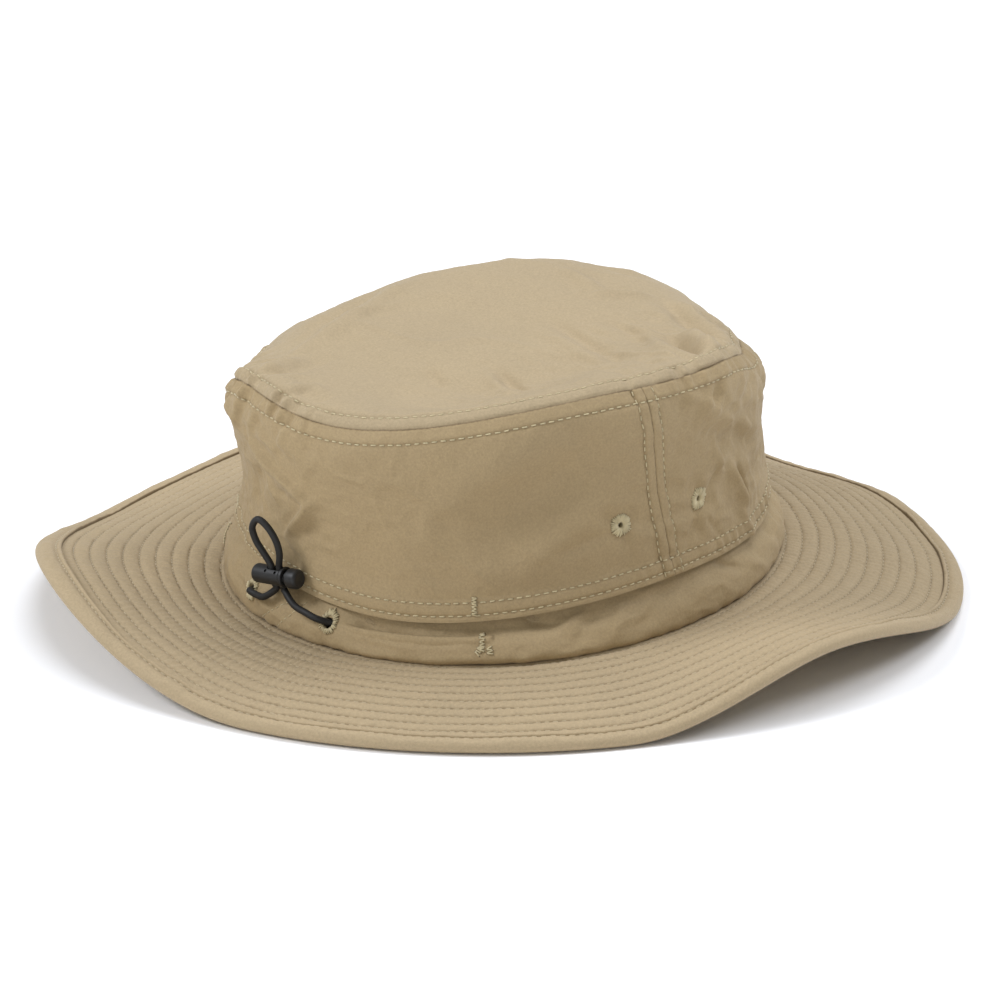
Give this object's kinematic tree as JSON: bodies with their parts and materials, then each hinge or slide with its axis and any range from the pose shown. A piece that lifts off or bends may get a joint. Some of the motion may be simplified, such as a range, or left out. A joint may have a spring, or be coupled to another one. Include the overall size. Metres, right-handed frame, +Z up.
{
  "type": "boonie sun hat",
  "caption": "Wide-brim cloth sun hat with a flat-topped crown, quilted brim, stitched vent eyelets, and a rear elastic drawcord with a sprung cord lock.",
  "frame": {"origin": "on the ground under the middle of the brim, with the hat standing on its brim", "axes": "+Z up, +Y towards the back of the hat with the drawcord, +X to the wearer's left"},
  "size_m": [0.3014, 0.3102, 0.0998],
  "materials": {
    "crown_cloth": "light cotton-like weave, matt",
    "top_cloth": "light cotton-like weave, matt",
    "brim_cloth": "woven cloth quilted in rings, matt",
    "underside_cloth": "plain woven cloth, matt",
    "band_cloth": "woven cloth folded double, matt",
    "binding_cloth": "folded bias tape, matt",
    "sweatband_cloth": "soft terry tape, matt",
    "interlining": "stiff felted sheet, matt",
    "seam_tape": "narrow woven tape, matt",
    "label_cloth": "smooth woven label, blank",
    "thread": "dense satin stitching, slight sheen",
    "elastic_cord": "braided elastic cord, matt",
    "lock_plastic": "fine moulded texture, satin",
    "spring_steel": "drawn wire"
  },
  "bodies": {
    "hat": {"crown_top": "top_cloth", "crown_front_panel": "crown_cloth", "crown_back_panel": "crown_cloth", "top_seam_tape": "seam_tape", "side_seam_tape_left": "seam_tape", "side_seam_tape_right": "seam_tape", "cord_channel_band": "band_cloth", "sweatband": "sweatband_cloth", "size_label": "label_cloth", "brim_top": "brim_cloth", "brim_stiffener": "interlining", "brim_underside": "underside_cloth", "brim_binding": "binding_cloth", "vent_eyelet_right_back": "thread", "vent_eyelet_right_front": "thread", "vent_eyelet_left_back": "thread", "vent_eyelet_left_front": "thread", "cord_eyelet_left": "thread", "cord_eyelet_right": "thread", "hem_tack_left": "thread", "hem_tack_right": "thread", "cord_anchor_tack_left": "thread", "cord_anchor_tack_right": "thread", "drawcord_left_run": "elastic_cord", "drawcord_right_run": "elastic_cord"},
    "cord_lock": {"cord_lock_barrel": "lock_plastic", "cord_lock_spring": "spring_steel", "drawcord_loop": "elastic_cord"},
    "plunger": {"cord_lock_plunger": "lock_plastic"}
  },
  "joints": [
    {"name": "lock_slide", "type": "slide", "parent": "hat", "child": "cord_lock", "axis": [0.0548, 0.1868, 0.9809], "range_m": [0, 0.008]},
    {"name": "plunger_press", "type": "slide", "parent": "cord_lock", "child": "plunger", "axis": [0.979, 0.1833, -0.0896], "range_m": [0, 0.0012], "stiffness_N_per_m": 400, "deforming": ["cord_lock_spring"]}
  ]
}
